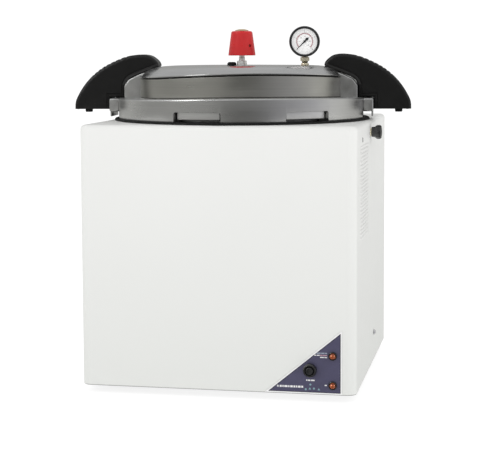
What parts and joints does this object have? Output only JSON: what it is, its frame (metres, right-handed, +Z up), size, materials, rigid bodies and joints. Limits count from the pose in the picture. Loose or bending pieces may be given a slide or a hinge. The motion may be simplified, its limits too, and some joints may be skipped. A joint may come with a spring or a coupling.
{
  "type": "benchtop autoclave",
  "caption": "Top-loading steam autoclave: white sheet-metal cabinet, turn-locked domed lid with fin handles, pressure gauge, weighted regulator and lift-out basket.",
  "frame": {"origin": "on the bench, under the middle of the cabinet", "axes": "+Z up, -Y towards the front with the control panel, +X to the right of someone facing the front"},
  "size_m": [0.4658, 0.38, 0.4772],
  "materials": {
    "white_powder_coat": "white powder coat, satin",
    "polished_aluminium": "cast, turned and polished",
    "stainless_steel": "brushed",
    "zinc_plated_steel": "zinc plated",
    "chrome": "polished",
    "brass": "machined",
    "copper": "drawn copper tube",
    "black_phenolic": "moulded phenolic, satin",
    "black_plastic": "moulded, glossy",
    "black_rubber": "matt",
    "white_silicone": "soft silicone",
    "red_plastic": "moulded, satin gloss",
    "cream_plastic": "moulded",
    "amber_lens": "faceted translucent lens",
    "clear_lens": "clear",
    "dial_white": "printed dial",
    "panel_slate_blue": "printed overlay",
    "mineral_wool": "mineral fibre blanket"
  },
  "bodies": {
    "cabinet": {"cabinet_shell": "white_powder_coat", "back_panel": "white_powder_coat", "base_pan": "zinc_plated_steel", "foot_front_left": "black_rubber", "foot_front_right": "black_rubber", "foot_rear_left": "black_rubber", "foot_rear_right": "black_rubber", "trim_ring": "black_rubber", "side_screw_left": "chrome", "side_screw_right": "chrome", "back_screw_low_left": "zinc_plated_steel", "back_screw_low_right": "zinc_plated_steel", "back_screw_high_left": "zinc_plated_steel", "back_screw_high_right": "zinc_plated_steel", "vessel": "stainless_steel", "insulation_jacket": "mineral_wool", "heating_element": "stainless_steel", "heater_nut_left": "brass", "heater_nut_right": "brass", "basket_stand": "stainless_steel", "control_panel": "panel_slate_blue", "power_lamp_bezel": "black_plastic", "power_lamp_lens": "amber_lens", "heating_lamp_bezel": "black_plastic", "heating_lamp_lens": "amber_lens", "breaker_collar": "black_plastic", "exhaust_valve_body": "brass", "exhaust_pipe": "copper", "discharge_pipe": "copper", "exhaust_outlet": "brass", "power_inlet": "black_plastic", "pressure_switch": "black_plastic", "switch_pipe": "copper", "terminal_block": "cream_plastic"},
    "lid_seal": {"lid_gasket": "white_silicone"},
    "lid": {"lid": "polished_aluminium", "handle_left": "black_phenolic", "handle_right": "black_phenolic", "handle_screw_left": "zinc_plated_steel", "handle_screw_right": "zinc_plated_steel", "handle_peg_left": "black_rubber", "handle_peg_right": "black_rubber", "safety_plug": "black_rubber", "regulator_stem": "chrome", "regulator_nut": "chrome", "gauge_case": "black_plastic", "gauge_bezel": "black_plastic", "gauge_dial": "dial_white", "gauge_lens": "clear_lens", "gauge_stem": "brass", "gauge_nut": "brass"},
    "regulator": {"regulator_weight": "brass", "regulator_cover": "red_plastic", "regulator_cap": "cream_plastic"},
    "gauge_pointer": {"gauge_needle": "black_plastic"},
    "valve_knob": {"exhaust_valve_knob": "black_plastic"},
    "reset_button": {"breaker_button": "black_plastic"},
    "basket": {"basket": "stainless_steel"},
    "bail": {"basket_bail": "stainless_steel"}
  },
  "joints": [
    {"name": "lid_lift", "type": "slide", "parent": "cabinet", "child": "lid_seal", "axis": [0, 0, 1], "range_m": [0, 0.3]},
    {"name": "lid_turn", "type": "hinge", "parent": "lid_seal", "child": "lid", "pos_m": [0, 0, 0.35], "axis": [0, 0, 1], "range_deg": [-25, 0]},
    {"name": "regulator_lift", "type": "slide", "parent": "lid", "child": "regulator", "axis": [0, 0, 1], "range_m": [0, 0.006]},
    {"name": "pointer_turn", "type": "hinge", "parent": "lid", "child": "gauge_pointer", "pos_m": [0.08661, 0.00819, 0.4562], "axis": [-0.0941, 0.9956, 0], "range_deg": [0, 270], "stiffness_Nm_per_rad": 0.0004},
    {"name": "exhaust_valve_turn", "type": "hinge", "parent": "cabinet", "child": "valve_knob", "pos_m": [0.18, -0.018, 0.334], "axis": [1, 0, 0], "range_deg": [0, 360]},
    {"name": "reset_press", "type": "slide", "parent": "cabinet", "child": "reset_button", "axis": [0, 1, 0], "range_m": [0, 0.0025], "stiffness_N_per_m": 600, "springref_m": -0.001},
    {"name": "basket_lift", "type": "slide", "parent": "cabinet", "child": "basket", "axis": [0, 0, 1], "range_m": [0, 0.01]},
    {"name": "bail_swing", "type": "hinge", "parent": "basket", "child": "bail", "pos_m": [0, 0, 0.2683], "axis": [1, 0, 0], "range_deg": [0, 180]}
  ]
}
